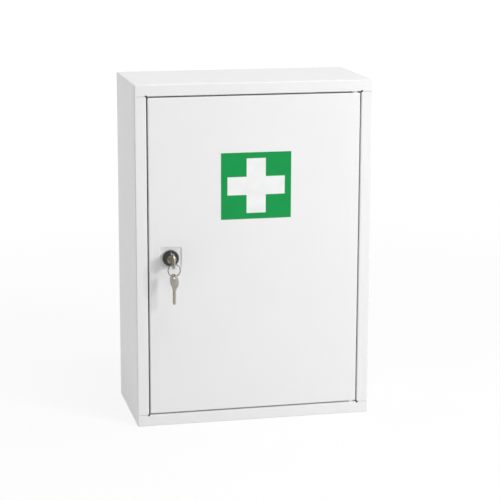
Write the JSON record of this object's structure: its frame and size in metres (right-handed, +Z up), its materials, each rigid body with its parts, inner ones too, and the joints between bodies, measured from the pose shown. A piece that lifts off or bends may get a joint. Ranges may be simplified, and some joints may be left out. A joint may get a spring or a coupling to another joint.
{
  "type": "lockable medicine cabinet",
  "caption": "White steel wall cabinet with an inset door on hidden pivot pins, a cam lock with keys, fixed shelves and a first-aid sign.",
  "frame": {"origin": "middle of the four wall screw holes, on the outer face of the back panel", "axes": "+X to the right seen from the front, +Y back to the wall, +Z up"},
  "size_m": [0.32, 0.1913, 0.46],
  "materials": {
    "powder_coat": "satin white powder coat with a fine orange-peel texture",
    "sign_green": "satin self-adhesive vinyl, signal green",
    "sign_white": "satin self-adhesive vinyl, white",
    "black_nickel": "polished black nickel plate",
    "die_cast": "plain zinc die casting",
    "zinc_steel": "bright zinc plate",
    "rivet_steel": "plain steel rivet heads",
    "nickel": "nickel plate, slightly warm",
    "ring_steel": "hardened wire, nickel plated",
    "brass": "stamped brass",
    "nylon": "natural nylon",
    "rubber": "matt black rubber"
  },
  "bodies": {
    "cabinet": {"case_wrap": "powder_coat", "back_panel": "powder_coat", "shelf_upper": "powder_coat", "shelf_lower": "powder_coat", "cleats_upper": "powder_coat", "cleats_lower": "powder_coat", "shelf_rivets": "rivet_steel", "hinge_pin_top": "zinc_steel", "hinge_pin_bottom": "zinc_steel", "door_stops": "powder_coat", "stop_bumpers": "rubber"},
    "door": {"door_panel": "powder_coat", "hinge_bush_top": "nylon", "hinge_bush_bottom": "nylon", "sign_field": "sign_green", "sign_cross": "sign_white", "lock_bezel": "black_nickel", "lock_housing": "die_cast", "lock_washer": "zinc_steel", "lock_nut": "zinc_steel"},
    "lock_core": {"lock_plug": "nickel", "lock_wafers": "brass", "lock_cam": "zinc_steel", "cam_washer": "zinc_steel", "cam_screw": "zinc_steel"},
    "door_key": {"door_key": "nickel"},
    "key_ring": {"split_ring": "ring_steel"},
    "spare_key": {"spare_key": "nickel"}
  },
  "joints": [
    {"name": "door_hinge", "type": "hinge", "parent": "cabinet", "child": "door", "pos_m": [0.1357, -0.1505, 0], "axis": [0, 0, 1], "range_deg": [0, 110]},
    {"name": "lock_turn", "type": "hinge", "parent": "door", "child": "lock_core", "pos_m": [-0.114, -0.155, 0], "axis": [0, 1, 0], "range_deg": [0, 90]},
    {"name": "key_slide", "type": "slide", "parent": "lock_core", "child": "door_key", "axis": [0, -1, 0], "range_m": [0, 0.0215]},
    {"name": "ring_swing", "type": "hinge", "parent": "door_key", "child": "key_ring", "pos_m": [-0.114, -0.1811, -0.00281], "axis": [1, 0, 0], "range_deg": [-75, 15]},
    {"name": "spare_key_swing", "type": "hinge", "parent": "key_ring", "child": "spare_key", "pos_m": [-0.114, -0.1811, -0.01901], "axis": [1, 0, 0], "range_deg": [-60, 12]}
  ]
}
